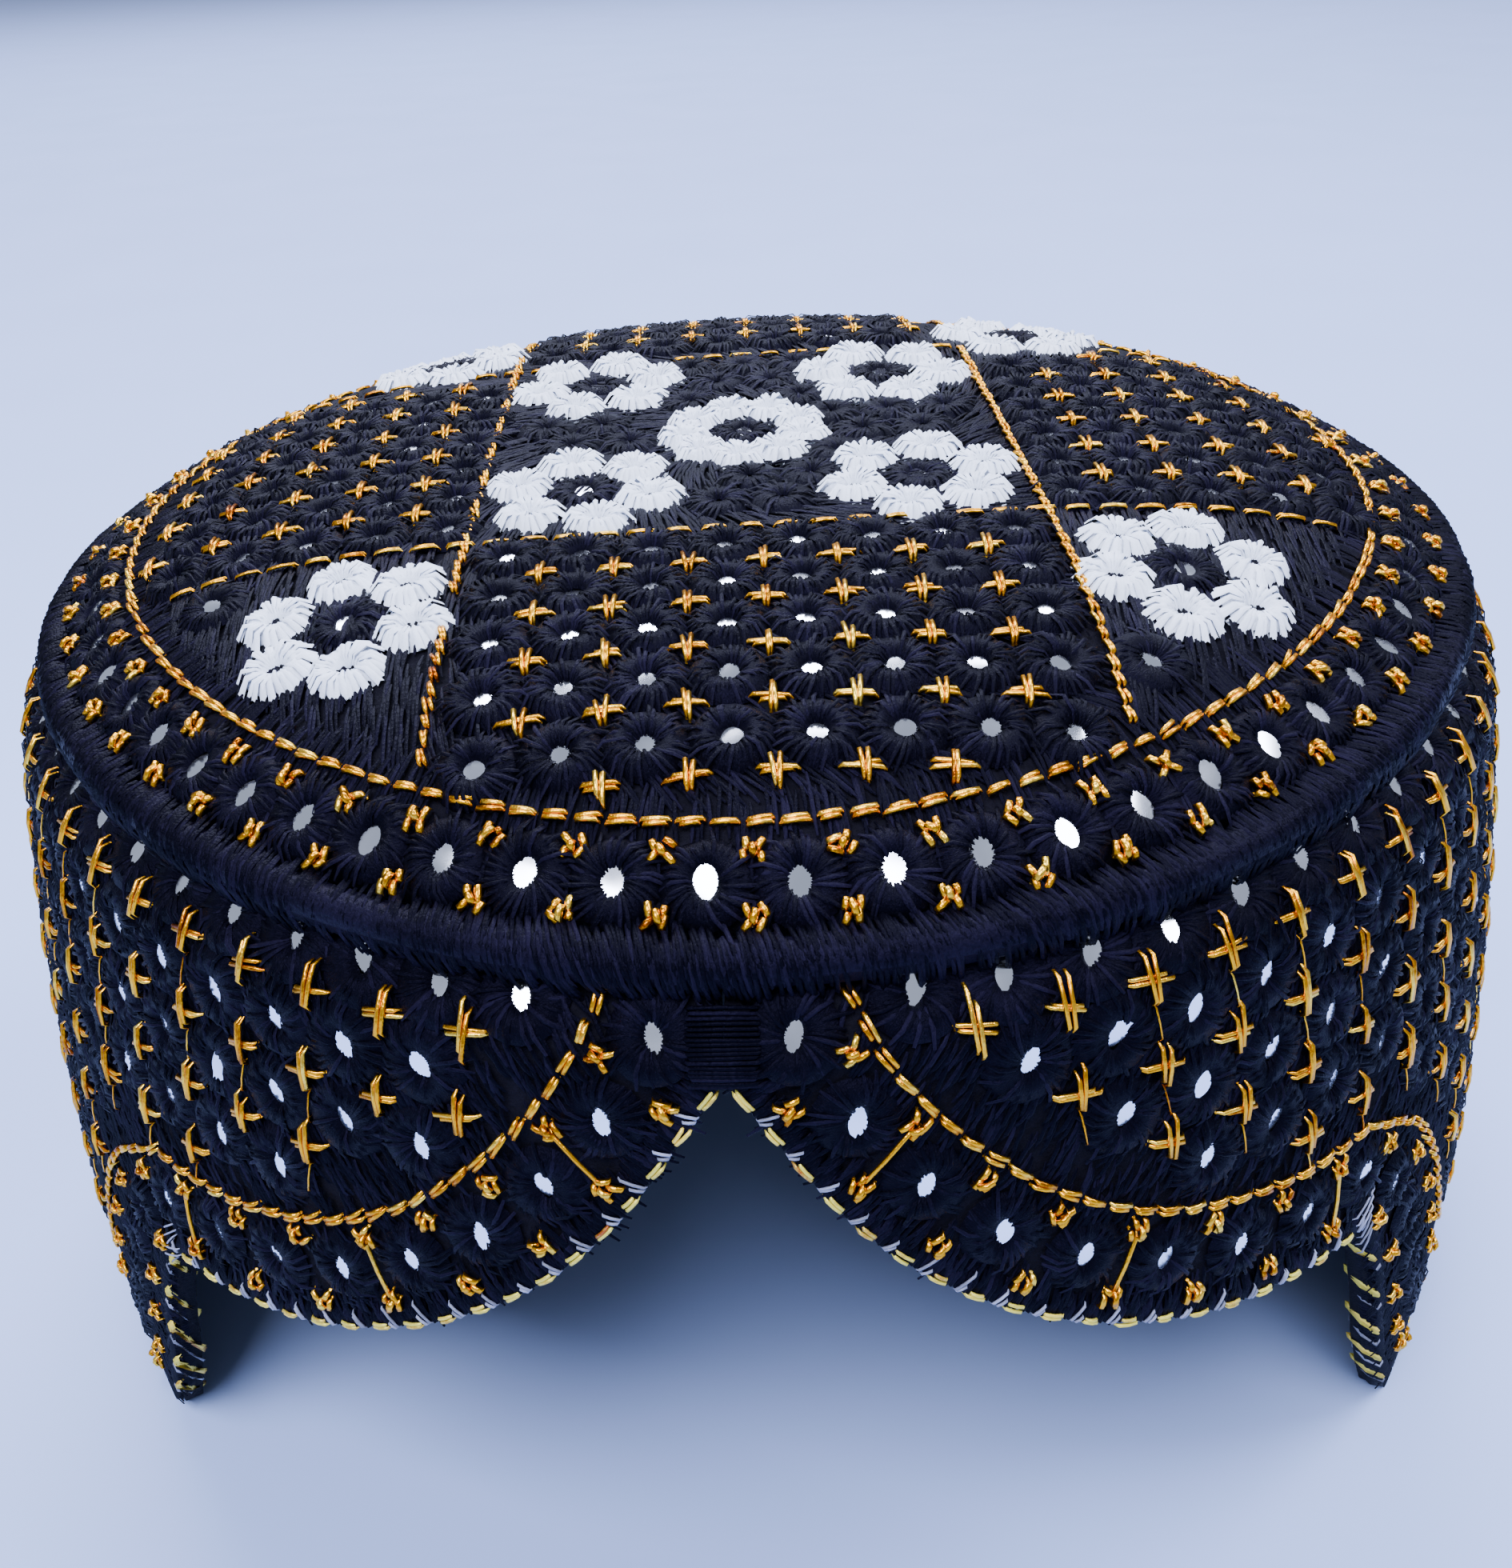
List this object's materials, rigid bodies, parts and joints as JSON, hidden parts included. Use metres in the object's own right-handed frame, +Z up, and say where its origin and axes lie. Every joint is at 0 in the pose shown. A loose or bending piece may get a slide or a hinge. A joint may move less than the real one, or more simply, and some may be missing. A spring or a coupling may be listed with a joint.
{
  "type": "sindhi cap",
  "caption": "Stiff oval embroidered cap with a padded rim, flared wall and an arched opening over the forehead.",
  "frame": {"origin": "middle of the cap's box, seen from above, on the surface that the hem of the side walls stands on", "axes": "+Z up through the crown, -Y towards the wearer's forehead and the arched opening, +X towards the right side of the picture"},
  "size_m": [0.2016, 0.1696, 0.1215],
  "materials": {
    "black_cloth": "black cotton closely covered in buttonhole stitch",
    "black_satin": "padded black rayon satin stitch",
    "white_thread": "white cotton buttonhole stitch",
    "gold_thread": "gold metallic embroidery thread",
    "hem_thread": "yellow and silver-grey hem stitches",
    "mirror_glass": "small silvered glass discs"
  },
  "bodies": {
    "root": {"crown": "black_cloth", "rim_cord": "black_satin", "front_left_panel": "black_cloth", "front_right_panel": "black_cloth", "left_wall": "black_cloth", "right_wall": "black_cloth", "front_join": "black_satin", "flower_front_left": "white_thread", "flower_front_right": "white_thread", "flower_back_left": "white_thread", "flower_back_right": "white_thread", "flower_square_front_left": "white_thread", "flower_square_front_right": "white_thread", "flower_square_back_left": "white_thread", "flower_square_back_right": "white_thread", "flower_ring": "white_thread"}
  },
  "joints": []
}
